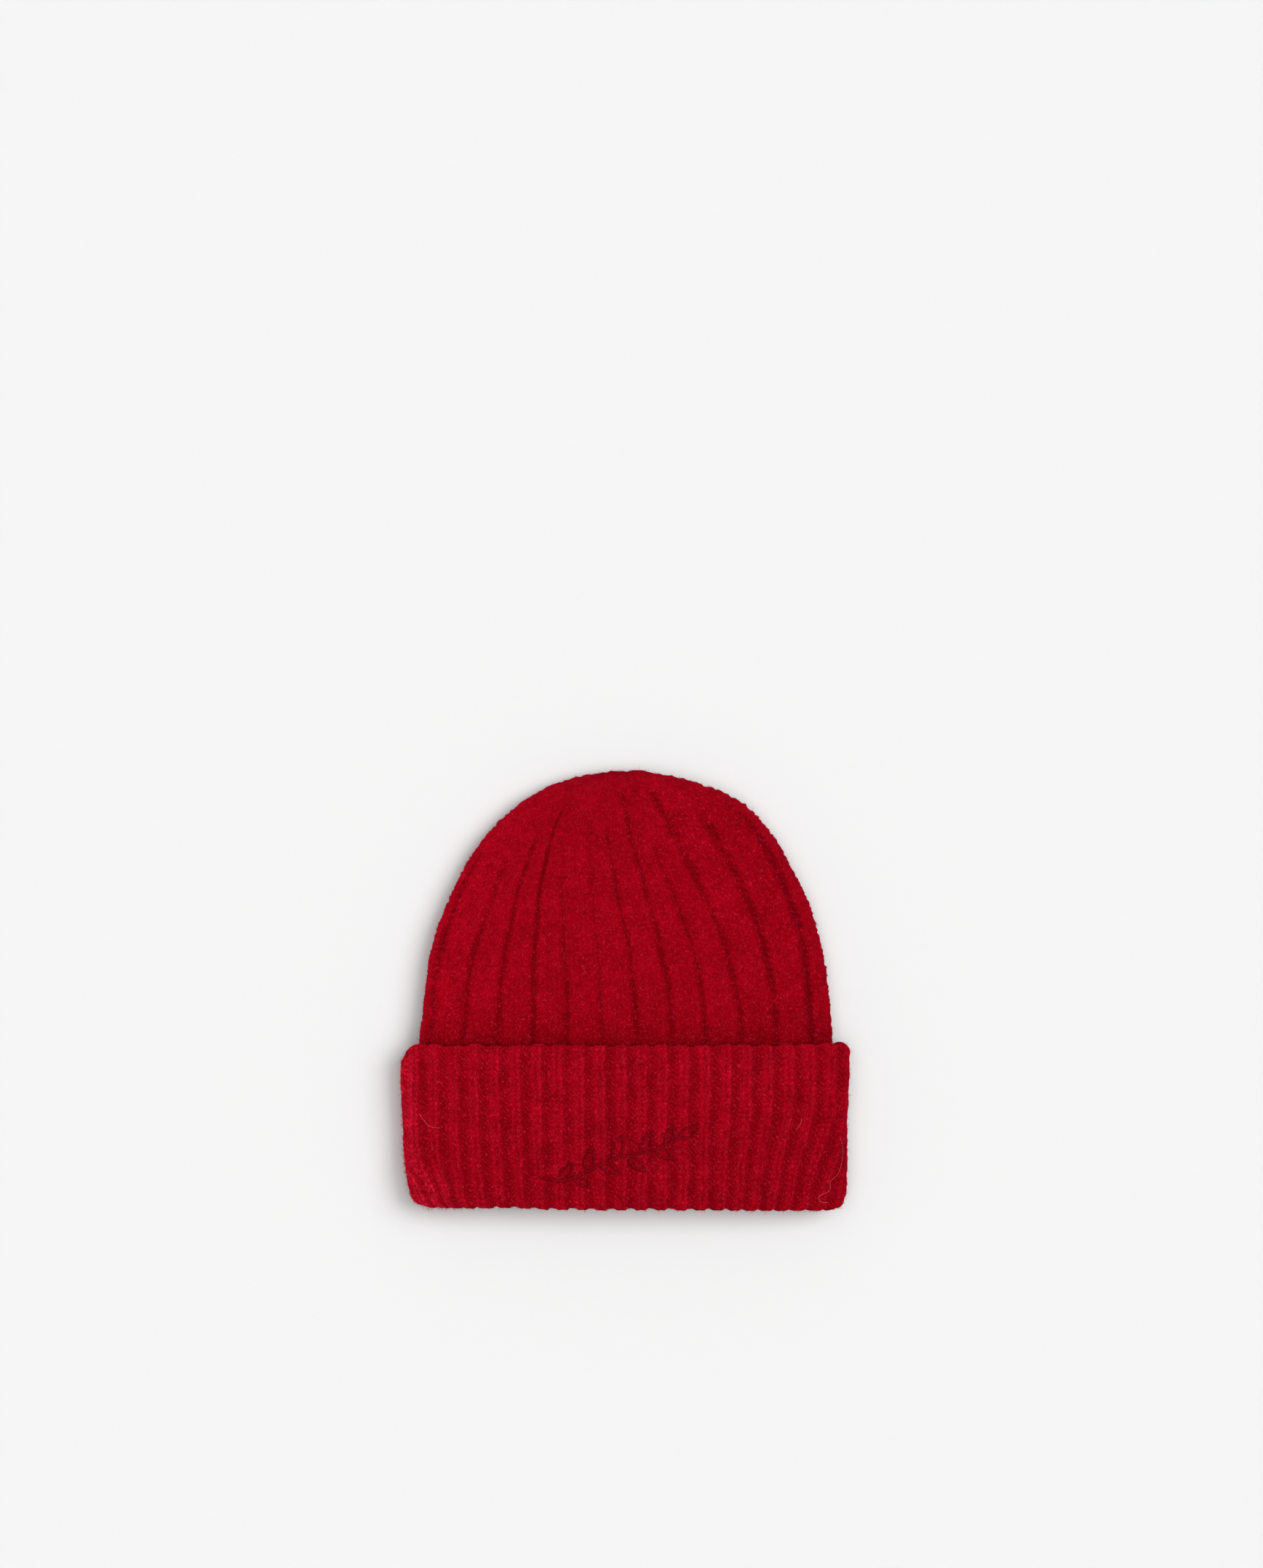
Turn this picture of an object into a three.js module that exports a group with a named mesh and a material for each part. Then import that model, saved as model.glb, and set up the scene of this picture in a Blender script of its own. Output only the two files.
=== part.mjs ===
import * as THREE from 'three';
import { ParametricGeometry } from 'three/addons/geometries/ParametricGeometry.js';
import { mergeVertices } from 'three/addons/utils/BufferGeometryUtils.js';

// A cuffed rib-knit beanie that lies flat on its back, in millimetres.
// +Z is up, the closed end points to +Y, the head opening to -Y, and the front faces up.
// The origin is the middle of the beanie's box, on the surface that it lies on.

// Outline, seen from above
const LENGTH = 215;
const CUFF_HEIGHT = 80;
const CUFF_HALF_WIDTH = { edge: 110, hem: 108 };
const CROWN_HALF_WIDTH = 99.8;
const CROWN_ROUNDNESS = 2.45;
const TIP_DRIFT = 2;

// Knitted walls and the gaps between them
const CROWN_WALL = 3;
const CUFF_WALL = 3.4;
const GAP = 0.3;
const FOLD_CLEARANCE = 1;
const BAND_END_GAP = 2.5;

// Heights of the flattened tube: its side folds, and the front and back away from them
const FOLD_HEIGHT = { cuff: 10, crown: 7.5 };
const FRONT_RISE = { cuff: 16.4, crownAtCuff: 11.7, crown: 15.4 };
const FLOOR_FLATNESS = 0.12;
const FRONT_BLUNTNESS = { cuff: 2.8, crown: 2.5 };
const BACK_BLUNTNESS = 6;

// Ribs: how many go round and how many of them show on the front, counted from the left fold,
// and the crown's first groove and the sway of its front ribs towards the tip
const CROWN_RIBS = { count: 24, onFront: 12.2, firstGroove: 0.45, sway: 0.126 };
const CUFF_RIBS = { count: 44, onFront: 22.4 };
const TIP_GATHER = { start: 8, end: 45 };

// Relief across one rib: a narrow groove beside a wide crown rib, and a valley beside a cuff rib
const CROWN_RELIEF = [
  { at: 0, depth: 1.4 },
  { at: 0.13, depth: 0 },
  { at: 0.38, depth: 0 },
  { at: 0.62, depth: 0 },
  { at: 0.87, depth: 0 },
];
const CUFF_RELIEF = [
  { at: 0.3, depth: 1.1 },
  { at: 0.7, depth: 1.1 },
  { at: 0.84, depth: 0 },
  { at: 1.16, depth: 0 },
];

// Rounded corners of the cuff at its side folds: how far the hem is lifted or the free edge
// lowered at the fold itself, and how far round the tube from the fold that reaches
const CORNERS = [
  { name: 'left hem', fold: 'left', end: 'hem', shift: 15, reach: 18.5 },
  { name: 'right hem', fold: 'right', end: 'hem', shift: 12, reach: 11 },
  { name: 'left edge', fold: 'left', end: 'edge', shift: -7, reach: 10 },
  { name: 'right edge', fold: 'right', end: 'edge', shift: -7, reach: 10 },
];
const FOLD_TO_FOLD = 228;

// Places along Y
const TIP_Y = LENGTH / 2;
const HEM_Y = -LENGTH / 2;
const CUFF_EDGE_Y = HEM_Y + CUFF_HEIGHT;
const HEM_RADIUS = (CROWN_WALL + GAP + CUFF_WALL) / 2;
const LIP_Y = HEM_Y + 8;
const BAND_END_Y = LIP_Y + BAND_END_GAP;
const NARROWING_START_Y = CUFF_EDGE_Y - 33;
const DROOP = { start: CUFF_EDGE_Y + 2, end: CUFF_EDGE_Y + 35 };
const SWELL = { start: CUFF_EDGE_Y - 2, end: CUFF_EDGE_Y + 50 };

// Distances outward from the crown's inner face to the cuff's two faces
const CUFF_INNER = CROWN_WALL + GAP;
const CUFF_OUTER = CUFF_INNER + CUFF_WALL;

// Half of a cross-section: a blunt arc from the left side fold to the right one,
// over the front where height is positive and under the back where it is negative.
class FoldToFold extends THREE.Curve {
  constructor(halfWidth, height, bluntness) {
    super();
    this.halfWidth = halfWidth;
    this.height = height;
    this.bluntness = bluntness;
    this.arcLengthDivisions = 300;
  }

  getPoint(t, target = new THREE.Vector3()) {
    const angle = Math.PI * (1 - t);
    const across = Math.cos(angle);
    const upward = Math.sin(angle);
    const n = this.bluntness;
    const reach = (Math.abs(across) ** n + Math.abs(upward) ** n) ** (-1 / n);
    return target.set(this.halfWidth * across * reach, 0, this.height * upward * reach);
  }
}

// A cross-section of the flattened tube at one place along Y. Sway moves its front ribs
// sideways, and hem and edge say how much of the cuff's corner lift and dip it takes.
function crossSection({ y, halfWidth, foldHeight, rise, fall, bluntness, ...rest }) {
  return {
    y,
    halfWidth,
    foldHeight,
    front: new FoldToFold(halfWidth, rise, bluntness),
    back: new FoldToFold(halfWidth, -fall, BACK_BLUNTNESS),
    middle: 0,
    sway: 0,
    hem: 0,
    edge: 0,
    ...rest,
  };
}

// How far a cross-section's point moves along Y where the cuff turns a rounded corner.
function cornerShift(section, share) {
  let shift = 0;
  for (const corner of CORNERS) {
    const fromFold = FOLD_TO_FOLD * (corner.fold === 'left' ? share : 1 - share);
    if (fromFold < corner.reach) {
      const bend = (1 + Math.cos(Math.PI * fromFold / corner.reach)) / 2;
      shift += section[corner.end] * corner.shift * bend;
    }
  }
  return shift;
}

// The point of a cross-section at a rib position, counted from the left fold over the front
// and back underneath. Relief moves it along the outward normal.
function pointOnSection(section, ribs, ribPosition, relief, target) {
  if (section.halfWidth === 0) {
    return target.set(section.middle, section.y, section.foldHeight);
  }
  const position = ((ribPosition % ribs.count) + ribs.count) % ribs.count;
  const onFront = position < ribs.onFront;
  const curve = onFront ? section.front : section.back;
  let share = position / ribs.onFront;
  if (onFront) {
    share -= section.sway * 4 * share * (1 - share);
  } else {
    share = 1 - (position - ribs.onFront) / (ribs.count - ribs.onFront);
  }
  curve.getPointAt(share, target);
  if (relief !== 0) {
    const tangent = curve.getTangentAt(share);
    const outward = onFront ? relief : -relief;
    target.x -= tangent.z * outward;
    target.z += tangent.x * outward;
  }
  target.x += section.middle;
  target.y = section.y + cornerShift(section, share);
  target.z += section.foldHeight;
  return target;
}

// How far down the cuff a place along Y lies: 0 at its free edge and 1 at its hem.
function downTheCuff(y) {
  return (CUFF_EDGE_Y - y) / CUFF_HEIGHT;
}

// Half width of the cuff's outer face at a place along Y.
function cuffHalfWidth(y) {
  return THREE.MathUtils.lerp(CUFF_HALF_WIDTH.edge, CUFF_HALF_WIDTH.hem, downTheCuff(y));
}

// A closed mesh from a grid of rings: one row for each ring, one column for each place round it.
function ringedMesh(name, columns, rows, pointAt, material) {
  const surface = (u, v, target) => {
    const column = Math.round(u * columns) % columns;
    pointAt(column, Math.round(v * rows), target);
  };
  const grid = new ParametricGeometry(surface, columns, rows);
  grid.deleteAttribute('normal');
  grid.deleteAttribute('uv');
  const geometry = mergeVertices(grid);
  const corners = Array.from(geometry.index.array);
  const faces = [];
  for (let i = 0; i < corners.length; i += 3) {
    const [a, b, c] = corners.slice(i, i + 3);
    if (a !== b && b !== c && c !== a) {
      faces.push(a, c, b);
    }
  }
  geometry.setIndex(faces);
  geometry.computeVertexNormals();
  const mesh = new THREE.Mesh(geometry, material);
  mesh.name = name;
  return mesh;
}

// Crown: a cross-section of its outer or inner face in the band that runs down inside the cuff.
function bandSection(y, inset) {
  const widest = cuffHalfWidth(y) - CUFF_WALL - GAP - FOLD_CLEARANCE;
  const narrowing = THREE.MathUtils.smoothstep(y, NARROWING_START_Y, CUFF_EDGE_Y);
  const risen = THREE.MathUtils.lerp(
    FRONT_RISE.cuff - CUFF_WALL - GAP,
    FRONT_RISE.crownAtCuff,
    narrowing,
  );
  return crossSection({
    y,
    halfWidth: THREE.MathUtils.lerp(widest, CROWN_HALF_WIDTH, narrowing) - inset,
    foldHeight: FOLD_HEIGHT.cuff,
    rise: risen - inset,
    fall: FOLD_HEIGHT.cuff - CUFF_WALL - GAP - inset,
    bluntness: THREE.MathUtils.lerp(FRONT_BLUNTNESS.cuff, FRONT_BLUNTNESS.crown, narrowing),
    hem: downTheCuff(y),
  });
}

// Crown: a cross-section of its outer or inner face above the cuff, at a turn from 0 at the cuff
// to a right angle at the tip.
function domeSection(turn, inset) {
  const along = Math.sin(turn) ** (2 / CROWN_ROUNDNESS);
  const y = CUFF_EDGE_Y + (TIP_Y - CUFF_EDGE_Y - inset) * along;
  const atTip = turn > Math.PI / 2 - 1e-6;
  const drooped = THREE.MathUtils.smoothstep(y, DROOP.start, DROOP.end);
  const swollen = THREE.MathUtils.smoothstep(y, SWELL.start, SWELL.end);
  const { lerp } = THREE.MathUtils;
  const rise = lerp(FRONT_RISE.crownAtCuff, FRONT_RISE.crown, swollen) - inset;
  const fall = lerp(FOLD_HEIGHT.cuff - CUFF_WALL - GAP, FOLD_HEIGHT.crown, drooped) - inset;
  return crossSection({
    y,
    middle: TIP_DRIFT * along ** 2,
    halfWidth: atTip ? 0 : (CROWN_HALF_WIDTH - inset) * Math.cos(turn),
    foldHeight: lerp(FOLD_HEIGHT.cuff, FOLD_HEIGHT.crown, drooped),
    rise: rise * Math.sqrt(1 - Math.min(1, along ** 4)),
    fall: fall * Math.sqrt(1 - Math.min(1, along ** 6)),
    bluntness: FRONT_BLUNTNESS.crown,
    sway: CROWN_RIBS.sway * along ** 2,
  });
}

// Crown: the cross-sections of its outer or inner face, from the tip to the end of the band.
function crownFace(domeRows, bandRows, inset) {
  const face = [];
  for (let i = domeRows; i > 0; i -= 1) {
    face.push(domeSection(Math.PI / 2 * i / domeRows, inset));
  }
  for (let i = 0; i <= bandRows; i += 1) {
    const y = THREE.MathUtils.lerp(CUFF_EDGE_Y, BAND_END_Y, i / bandRows);
    face.push(bandSection(y, inset));
  }
  return face;
}

function makeCrown() {
  const outside = crownFace(12, 3, 0);
  const inside = crownFace(7, 2, CROWN_WALL);
  const sections = [...outside, ...inside.reverse()];
  const pointAt = (column, row, target) => {
    const section = sections[row];
    const { at, depth } = CROWN_RELIEF[column % CROWN_RELIEF.length];
    const rib = Math.floor(column / CROWN_RELIEF.length) + CROWN_RIBS.firstGroove + at;
    const { start, end } = TIP_GATHER;
    const fade = THREE.MathUtils.smoothstep(section.halfWidth, start, end);
    const relief = row < outside.length ? -depth * fade : 0;
    pointOnSection(section, CROWN_RIBS, rib, relief, target);
  };
  const wool = new THREE.MeshStandardMaterial({ color: 0x950412, roughness: 0.95, metalness: 0 });
  wool.name = 'crown_knit';
  const columns = CROWN_RIBS.count * CROWN_RELIEF.length;
  return ringedMesh('crown', columns, sections.length - 1, pointAt, wool);
}

// Cuff: its profile from the free edge down the outside, round the hem, across to the crown's
// lower edge and back up the inside. out is the distance from the crown's inner face, and
// normalOut and normalUp are the direction in which the ribs stand proud.
function cuffProfile() {
  const edgeRound = 0.9;
  const profile = [];
  const add = (out, y, normalOut = 0, normalUp = 0) => {
    profile.push({ out, y, normalOut, normalUp });
  };
  add(CUFF_INNER + edgeRound, CUFF_EDGE_Y);
  add(CUFF_OUTER - edgeRound, CUFF_EDGE_Y, 0.5, 0);
  add(CUFF_OUTER, CUFF_EDGE_Y - edgeRound, 1, 0);
  const outsideRows = 4;
  const foldStart = HEM_Y + HEM_RADIUS;
  for (let i = 1; i <= outsideRows; i += 1) {
    const y = THREE.MathUtils.lerp(CUFF_EDGE_Y - edgeRound, foldStart, i / outsideRows);
    add(CUFF_OUTER, y, 1, 0);
  }
  const foldSteps = 6;
  for (let i = 1; i <= foldSteps; i += 1) {
    const angle = Math.PI * i / foldSteps;
    const fade = 1 - i / foldSteps;
    add(
      HEM_RADIUS * (1 + Math.cos(angle)),
      foldStart - HEM_RADIUS * Math.sin(angle),
      Math.cos(angle) * fade,
      -Math.sin(angle) * fade,
    );
  }
  add(0, LIP_Y);
  add(CUFF_INNER, LIP_Y);
  add(CUFF_INNER, (LIP_Y + CUFF_EDGE_Y) / 2);
  add(CUFF_INNER, CUFF_EDGE_Y - edgeRound);
  return profile;
}

// Cuff: the cross-section that one point of the profile follows.
function cuffSection({ out, y }) {
  const inset = CUFF_OUTER - out;
  return crossSection({
    y,
    halfWidth: cuffHalfWidth(y) - inset,
    foldHeight: FOLD_HEIGHT.cuff,
    rise: FRONT_RISE.cuff - inset,
    fall: FOLD_HEIGHT.cuff + FLOOR_FLATNESS - inset,
    bluntness: FRONT_BLUNTNESS.cuff,
    hem: downTheCuff(y),
    edge: 1 - downTheCuff(y),
  });
}

function makeCuff() {
  const profile = cuffProfile();
  const sections = profile.map(cuffSection);
  const pointAt = (column, row, target) => {
    const { normalOut, normalUp } = profile[row % profile.length];
    const { at, depth } = CUFF_RELIEF[column % CUFF_RELIEF.length];
    const rib = Math.floor(column / CUFF_RELIEF.length) + at;
    pointOnSection(sections[row % profile.length], CUFF_RIBS, rib, -depth * normalOut, target);
    target.y -= depth * normalUp;
    target.z = Math.max(target.z, 0);
  };
  const wool = new THREE.MeshStandardMaterial({ color: 0x920513, roughness: 0.95, metalness: 0 });
  wool.name = 'cuff_rib_knit';
  const columns = CUFF_RIBS.count * CUFF_RELIEF.length;
  return ringedMesh('cuff', columns, profile.length, pointAt, wool);
}

const beanie = new THREE.Group();
beanie.name = 'cuffed_beanie';
beanie.add(makeCrown());
beanie.add(makeCuff());

export default beanie;
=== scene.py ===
"""A cuffed rib-knit beanie in brushed red wool, lying flat on its back with its front up.

Metres throughout: +Z is up, the closed tip points to +Y and the head opening to -Y. The
sections follow the beanie from its crown outwards.
"""

import math

import bmesh
import bpy
import numpy as np
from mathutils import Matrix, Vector
from mathutils.bvhtree import BVHTree


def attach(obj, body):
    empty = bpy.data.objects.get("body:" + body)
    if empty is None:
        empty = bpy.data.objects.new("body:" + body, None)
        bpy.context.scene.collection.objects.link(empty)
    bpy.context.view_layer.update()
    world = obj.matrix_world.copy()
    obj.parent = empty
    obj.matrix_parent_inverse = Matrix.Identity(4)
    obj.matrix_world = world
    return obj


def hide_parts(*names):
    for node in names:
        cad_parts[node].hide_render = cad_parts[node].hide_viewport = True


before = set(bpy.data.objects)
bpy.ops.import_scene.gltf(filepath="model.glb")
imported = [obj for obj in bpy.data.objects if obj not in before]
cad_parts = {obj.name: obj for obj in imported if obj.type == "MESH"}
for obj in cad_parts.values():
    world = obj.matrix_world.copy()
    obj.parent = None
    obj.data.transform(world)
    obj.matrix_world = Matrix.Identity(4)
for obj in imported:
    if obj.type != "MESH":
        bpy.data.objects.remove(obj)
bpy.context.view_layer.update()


# Crown: the body, one tube of brushed red wool in wide flat ribs with a narrow groove
# between them. The ribs are gathered at the closed tip, and the band at the tube's lower
# end runs down inside the cuff to the hem.

# The flattened tubes of crown and cuff: their ends, half widths, walls and clearances
TIP_Y = 0.1075
CUFF_EDGE_Y = -0.0275
HEM_Y = -0.1075
CROWN_HALF_WIDTH = 0.0998
CROWN_ROUNDNESS = 2.45
TIP_DRIFT = 0.002
CUFF_HALF_WIDTH_AT_EDGE = 0.110
CUFF_HALF_WIDTH_AT_HEM = 0.108
CROWN_WALL = 0.003
CUFF_WALL = 0.0034
GAP = 0.0003
FOLD_CLEARANCE = 0.001
BAND_END_Y = -0.0998
BAND_NARROWING = 0.033

# How high their side folds lie, how far their fronts rise over those, how blunt they are, and
# over what length above the cuff the crown sinks and swells
CUFF_FOLD_HEIGHT = 0.010
CROWN_FOLD_HEIGHT = 0.0075
CUFF_RISE = 0.0164
CROWN_RISE = 0.0154
CROWN_RISE_AT_CUFF = 0.0117
FRONT_DROP_AT_HEM = 0.0020
CUFF_BLUNTNESS = 2.8
CROWN_BLUNTNESS = 2.5
BACK_BLUNTNESS = 6
CROWN_SINKING = 0.035
CROWN_SWELLING = 0.050

# The crown's ribs, counted from the left fold over the front, and their relief
CROWN_RIBS = 24
CROWN_RIBS_ON_FRONT = 12.2
FIRST_GROOVE = 0.45
SWAY = 0.126
LEAN_START_Y = -0.020
LEAN_END_Y = 0.100
GROOVE_MIDDLE_Y = 0.030
GROOVE_DEPTH = 0.0011
GROOVE_HALF_WIDTH = 0.0015
RUNG_PITCH = 0.0034
RIB_SWELL = 0.0005
GATHER_DEPTH = 0.00015
TUCK_DEPTH = 0.0004
ROW_PITCH = 0.00255
ROW_RELIEF = 0.00018
EDGE_ROUGHNESS = 0.00028
STITCHES_IN_CROWN_RIB = 7

# How finely the walls are divided: columns of a rib, rings of a face, steps of a curve
COLUMNS_IN_CROWN_RIB = 20
DOME_RINGS_OUTSIDE = 174
DOME_RINGS_INSIDE = 9
BAND_RINGS_OUTSIDE = 8
BAND_RINGS_INSIDE = 4
ARC_STEPS = 720
OUTLINE_STEPS = 4000

# Each groove from the left fold over the front and on round the back: how far it leans to the
# right by the tip, in ribs; its depth at the cuff, half way up and by its upper end, as shares
# of the full depth; where along Y it ends; and how far its loose rungs of yarn show
GROOVES = [
    {"lean": 0.35, "at_cuff": 0.80, "middle": 1.35, "upper": 1.10, "end_y": 0.066, "rungs": 1.00},
    {"lean": 0.95, "at_cuff": 1.00, "middle": 0.70, "upper": 0.60, "end_y": 0.064, "rungs": 0.45},
    {"lean": 0.75, "at_cuff": 1.00, "middle": 0.75, "upper": 0.70, "end_y": 0.076, "rungs": 0.40},
    {"lean": 0.40, "at_cuff": 1.00, "middle": 1.00, "upper": 0.85, "end_y": 0.088, "rungs": 0.35},
    {"lean": 0.00, "at_cuff": 0.75, "middle": 0.60, "upper": 0.25, "end_y": 0.060, "rungs": 0.40},
    {"lean": 0.05, "at_cuff": 0.50, "middle": 0.30, "upper": 0.35, "end_y": 0.086, "rungs": 0.50},
    {"lean": -0.25, "at_cuff": 0.90, "middle": 0.65, "upper": 0.35, "end_y": 0.082, "rungs": 0.50},
    {"lean": -0.37, "at_cuff": 0.95, "middle": 0.80, "upper": 0.50, "end_y": 0.098, "rungs": 0.50},
    {"lean": -0.66, "at_cuff": 0.80, "middle": 0.60, "upper": 0.30, "end_y": 0.074, "rungs": 0.60},
    {"lean": -0.78, "at_cuff": 0.90, "middle": 0.90, "upper": 1.00, "end_y": 0.099, "rungs": 0.90},
    {"lean": -0.37, "at_cuff": 1.20, "middle": 1.30, "upper": 1.00, "end_y": 0.085, "rungs": 1.00},
    {"lean": 0.15, "at_cuff": 1.30, "middle": 1.60, "upper": 1.00, "end_y": 0.088, "rungs": 1.00},
    {"lean": 0.00, "at_cuff": 1.00, "middle": 1.00, "upper": 0.50, "end_y": 0.066, "rungs": 0.80},
    {"lean": 0.00, "at_cuff": 0.90, "middle": 0.60, "upper": 0.40, "end_y": 0.074, "rungs": 0.50},
    {"lean": 0.00, "at_cuff": 0.80, "middle": 0.75, "upper": 0.60, "end_y": 0.088, "rungs": 0.35},
    {"lean": 0.00, "at_cuff": 0.95, "middle": 0.55, "upper": 0.30, "end_y": 0.070, "rungs": 0.35},
    {"lean": 0.00, "at_cuff": 0.70, "middle": 0.70, "upper": 0.60, "end_y": 0.094, "rungs": 0.35},
    {"lean": 0.00, "at_cuff": 0.90, "middle": 0.80, "upper": 0.35, "end_y": 0.078, "rungs": 0.35},
    {"lean": 0.00, "at_cuff": 0.85, "middle": 0.60, "upper": 0.70, "end_y": 0.098, "rungs": 0.35},
    {"lean": 0.00, "at_cuff": 0.80, "middle": 0.75, "upper": 0.45, "end_y": 0.080, "rungs": 0.35},
    {"lean": 0.00, "at_cuff": 0.95, "middle": 0.65, "upper": 0.30, "end_y": 0.072, "rungs": 0.35},
    {"lean": 0.00, "at_cuff": 0.85, "middle": 0.70, "upper": 0.50, "end_y": 0.084, "rungs": 0.35},
    {"lean": 0.00, "at_cuff": 0.75, "middle": 0.80, "upper": 0.40, "end_y": 0.070, "rungs": 0.40},
    {"lean": 0.00, "at_cuff": 0.60, "middle": 0.85, "upper": 0.50, "end_y": 0.062, "rungs": 0.80},
]

# Rounded corners of the cuff at its side folds, each a quarter of a squarish oval seen from
# above: how far it is lifted at the hem, or lowered at the free edge, and how far in it reaches
CORNER_SQUARENESS = 2.5
CORNERS = [
    {"fold": "left", "end": "hem", "shift": 0.0045, "reach": 0.0065},
    {"fold": "right", "end": "hem", "shift": 0.0060, "reach": 0.0080},
    {"fold": "left", "end": "edge", "shift": -0.0120, "reach": 0.0082},
    {"fold": "right", "end": "edge", "shift": -0.0040, "reach": 0.0034},
]

# How far the crown stands out past its even shape at either side fold
CROWN_SIDES = [
    {"y": -0.024, "left": 0.0012, "right": 0.0018},
    {"y": -0.012, "left": -0.0006, "right": 0.0003},
    {"y": 0.008, "left": -0.0013, "right": 0.0},
    {"y": 0.060, "left": -0.0014, "right": -0.0003},
    {"y": 0.077, "left": 0.0, "right": 0.0020},
    {"y": 0.092, "left": 0.0016, "right": 0.0041},
    {"y": 0.102, "left": 0.0, "right": 0.0016},
    {"y": 0.107, "left": 0.0, "right": 0.0},
]

# Lumps that make the crown, and the depth and course of its grooves, uneven: how strong they
# are, as a height or a share of the depth, how wide one is, and their seed
CROWN_LUMPS = [
    {"strength": 0.00050, "size": 0.045, "seed": 7},
    {"strength": 0.00012, "size": 0.009, "seed": 8},
    {"strength": 0.00036, "size": 0.0034, "seed": 9},
]
GROOVE_DEPTH_LUMPS = [
    {"strength": 0.28, "size": 0.014, "seed": 2},
    {"strength": 0.30, "size": 0.0036, "seed": 11},
]
GROOVE_COURSE_LUMPS = [
    {"strength": 0.0005, "size": 0.030, "seed": 3},
    {"strength": 0.0002, "size": 0.006, "seed": 4},
    {"strength": 0.0004, "size": 0.0032, "seed": 12},
]
LUMP_WAVES = 20
LUMP_RANGE = 6.3

# The gathered tip has a small notch between two puckers: how far each moves the edge, where
# it is along X and how wide
TIP_PUCKERS = [
    {"lifts": -0.0007, "x": 0.001, "width": 0.0020},
    {"lifts": 0.0004, "x": 0.009, "width": 0.0050},
    {"lifts": 0.0006, "x": 0.003, "width": 0.0090},
]


def smooth(value, start, end):
    """0 at start and 1 at end, with a soft turn at both."""
    share = np.clip((value - start) / (end - start), 0, 1)
    return share * share * (3 - 2 * share)


def blend(first, second, share):
    return first + (second - first) * share


def running_total(steps):
    """0, and the sum so far after each step."""
    return np.concatenate([[0], np.cumsum(steps)])


def length_along(line):
    """How far along a line each of its points lies."""
    return running_total(np.linalg.norm(np.diff(line, axis=0), axis=-1))


def fold_to_fold(share, half_width, height, bluntness):
    """x and z on a blunt arc from the left fold to the right one, evenly along its length."""
    angle = np.linspace(math.pi, 0, ARC_STEPS + 1)
    across = np.cos(angle)
    upward = np.sin(angle)
    reach = (np.abs(across) ** bluntness + np.abs(upward) ** bluntness) ** (-1 / bluntness)
    x = half_width * across * reach
    z = height * upward * reach
    length = running_total(np.hypot(np.diff(x), np.diff(z)))
    place = share * length[-1]
    return np.interp(place, length, x), np.interp(place, length, z)


def from_left_fold(place, ribs, on_front):
    """How far over each place round the tube is: 0 at the left fold and 1 at the right one."""
    place = place % ribs
    return np.where(place < on_front, place / on_front, (ribs - place) / (ribs - on_front))


def ring(place, ribs, on_front, half_width, rise, fall, fold_height, bluntness, sway=0):
    """One cross-section of the flattened tube, as x and z."""
    front = place % ribs < on_front
    share = from_left_fold(place, ribs, on_front)
    share = share - np.where(front, sway * 4 * share * (1 - share), 0)
    front_x, front_z = fold_to_fold(share, half_width, rise, bluntness)
    back_x, back_z = fold_to_fold(share, half_width, -fall, BACK_BLUNTNESS)
    x = np.where(front, front_x, back_x)
    z = np.where(front, front_z, back_z) + fold_height
    return x, z


def corner_shift(x, hem, edge):
    """How far the cuff's rounded corners move a ring's points along Y."""
    shift = np.zeros_like(x)
    for corner in CORNERS:
        from_fold = x - np.min(x) if corner["fold"] == "left" else np.max(x) - x
        near = 1 - np.minimum(from_fold / corner["reach"], 1)
        bend = 1 - (1 - near ** CORNER_SQUARENESS) ** (1 / CORNER_SQUARENESS)
        shift += bend * corner["shift"] * (hem if corner["end"] == "hem" else edge)
    return shift


def side_shift(x, y, sides):
    """How far along X the lie of the cloth moves a cross-section's points."""
    heights = [side["y"] for side in sides]
    left = np.interp(y, heights, [side["left"] for side in sides])
    right = np.interp(y, heights, [side["right"] for side in sides])
    out = x / max(1e-6, np.max(np.abs(x)))
    return np.where(out < 0, -left, right) * out ** 2


def groove_lean(place):
    """How far over the ribs lean by the tip, between the leans of the grooves beside them."""
    leans = [groove["lean"] for groove in GROOVES]
    return np.interp(place, FIRST_GROOVE + np.arange(CROWN_RIBS + 1), leans + leans[:1])


def down_the_cuff(y):
    """0 at the cuff's free edge and 1 at its hem."""
    return (CUFF_EDGE_Y - y) / (CUFF_EDGE_Y - HEM_Y)


def cuff_half_width(y):
    return blend(CUFF_HALF_WIDTH_AT_EDGE, CUFF_HALF_WIDTH_AT_HEM, down_the_cuff(y))


def front_drop(y):
    """How far the middle of the front sinks towards the hem."""
    return FRONT_DROP_AT_HEM * smooth(down_the_cuff(y), 0.1, 1)


def band_ring(place, y, inset):
    """Crown: one face of the band inside the cuff."""
    widest = cuff_half_width(y) - CUFF_WALL - GAP - FOLD_CLEARANCE
    narrowing = smooth(y, CUFF_EDGE_Y - BAND_NARROWING, CUFF_EDGE_Y)
    risen = blend(CUFF_RISE - CUFF_WALL - GAP, CROWN_RISE_AT_CUFF, narrowing) - front_drop(y)
    x, z = ring(
        place, CROWN_RIBS, CROWN_RIBS_ON_FRONT,
        half_width=blend(widest, CROWN_HALF_WIDTH, narrowing) - inset,
        rise=risen - inset,
        fall=CUFF_FOLD_HEIGHT - CUFF_WALL - GAP - inset,
        fold_height=CUFF_FOLD_HEIGHT,
        bluntness=blend(CUFF_BLUNTNESS, CROWN_BLUNTNESS, narrowing),
    )
    return np.stack([x, y + corner_shift(x, down_the_cuff(y), 0), z], axis=-1)


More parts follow.
